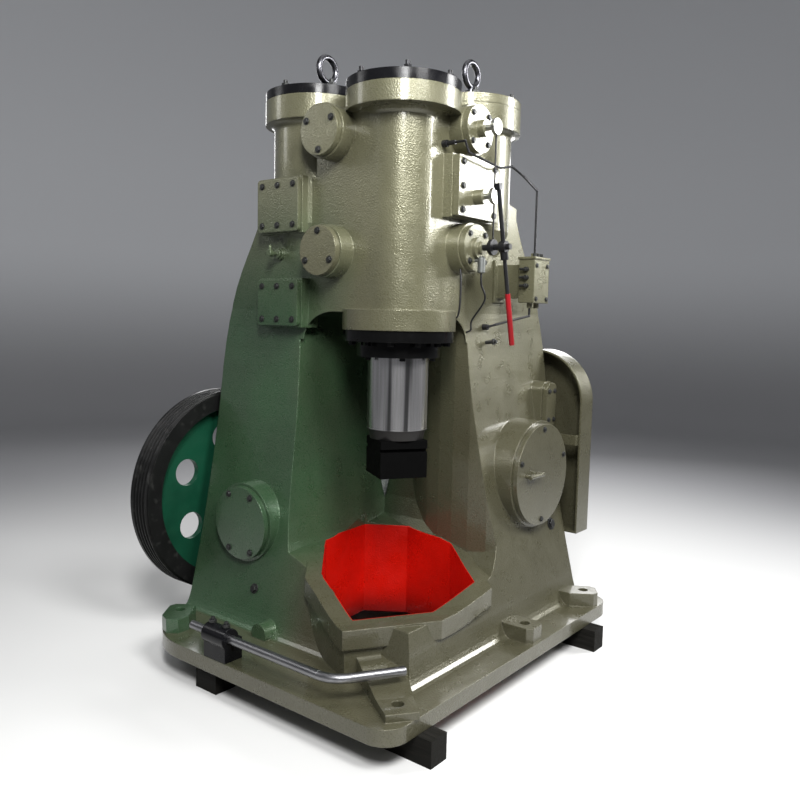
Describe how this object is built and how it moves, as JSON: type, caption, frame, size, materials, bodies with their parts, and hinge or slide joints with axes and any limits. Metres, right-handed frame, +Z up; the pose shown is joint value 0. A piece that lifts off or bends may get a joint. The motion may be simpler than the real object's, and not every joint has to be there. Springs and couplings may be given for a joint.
{
  "type": "power forging hammer",
  "caption": "Floor-standing pneumatic forging hammer: one cast frame, sliding ram over an open anvil well, hand lever, treadle and drive pulley.",
  "frame": {"origin": "centre of the four corner foundation holes, on the underside of the base plate", "axes": "+X is the normal of the valve side, -Y the normal of the treadle side, +Z is up along the ram"},
  "size_m": [1.676, 1.7965, 2.5609],
  "materials": {
    "olive_paint": "hammered gloss paint",
    "black_paint": "gloss",
    "dark_steel": "blackened",
    "bright_steel": "turned and polished",
    "die_steel": "forged, dark",
    "red_grip": "satin",
    "green_iron": "gloss paint",
    "bar_steel": "drawn bar",
    "black_timber": "painted"
  },
  "bodies": {
    "frame": {"frame_casting": "olive_paint", "ram_cylinder_cover": "black_paint", "left_cylinder_cover": "black_paint", "right_cylinder_cover": "olive_paint", "eye_bolt_left": "dark_steel", "eye_bolt_right": "dark_steel", "cover_studs": "dark_steel", "gland_ring": "black_paint", "gland_follower": "black_paint", "upper_round_cover": "olive_paint", "lower_round_cover": "olive_paint", "upper_side_plate": "olive_paint", "lower_side_plate": "olive_paint", "oil_fitting": "olive_paint", "left_side_cover": "olive_paint", "upper_valve_cover": "olive_paint", "valve_plate": "olive_paint", "lower_valve_cover": "olive_paint", "lubricator_box": "olive_paint", "oil_pipes": "dark_steel", "crankcase_cover": "olive_paint", "cover_handle": "olive_paint", "bearing_cap": "olive_paint", "belt_guard": "olive_paint", "guard_bracket": "olive_paint", "treadle_bearing": "black_paint", "skid_beams": "black_timber"},
    "ram_body": {"ram": "bright_steel", "upper_die": "die_steel"},
    "lever_body": {"hand_lever": "dark_steel", "lever_grip": "red_grip"},
    "upper_crank_body": {"upper_crank": "bright_steel"},
    "middle_crank_body": {"middle_crank": "bright_steel"},
    "link_body": {"link_rod": "dark_steel"},
    "pulley_body": {"pulley": "green_iron", "pulley_shaft": "bright_steel"},
    "treadle_body": {"treadle_bar": "bar_steel"}
  },
  "joints": [
    {"name": "ram_slide", "type": "slide", "parent": "frame", "child": "ram_body", "axis": [0, 0, 1], "range_m": [-0.22, 0.32]},
    {"name": "lever_hinge", "type": "hinge", "parent": "frame", "child": "lever_body", "pos_m": [0.46, 0.084, 1.665], "axis": [1, 0, 0], "range_deg": [-20, 20]},
    {"name": "upper_crank_hinge", "type": "hinge", "parent": "frame", "child": "upper_crank_body", "pos_m": [0.408, 0.084, 2.14], "axis": [1, 0, 0], "range_deg": [-20, 20]},
    {"name": "middle_crank_hinge", "type": "hinge", "parent": "frame", "child": "middle_crank_body", "pos_m": [0.408, 0.084, 1.86925], "axis": [1, 0, 0], "range_deg": [-20, 20]},
    {"name": "link_pivot", "type": "hinge", "parent": "lever_body", "child": "link_body", "pos_m": [0.403, 0.106, 1.665], "axis": [1, 0, 0], "range_deg": [-20, 20]},
    {"name": "pulley_spin", "type": "hinge", "parent": "frame", "child": "pulley_body", "pos_m": [-0.868, -0.233, 0.536], "axis": [1, 0, 0], "continuous": true},
    {"name": "treadle_hinge", "type": "hinge", "parent": "frame", "child": "treadle_body", "pos_m": [-0.192, -0.8105, 0.15], "axis": [1, 0, 0], "range_deg": [-4, 12]}
  ],
  "couplings": [
    {"joint": "upper_crank_hinge", "follows": "lever_hinge", "ratio": 1},
    {"joint": "middle_crank_hinge", "follows": "lever_hinge", "ratio": 1},
    {"joint": "link_pivot", "follows": "lever_hinge", "ratio": -1}
  ]
}
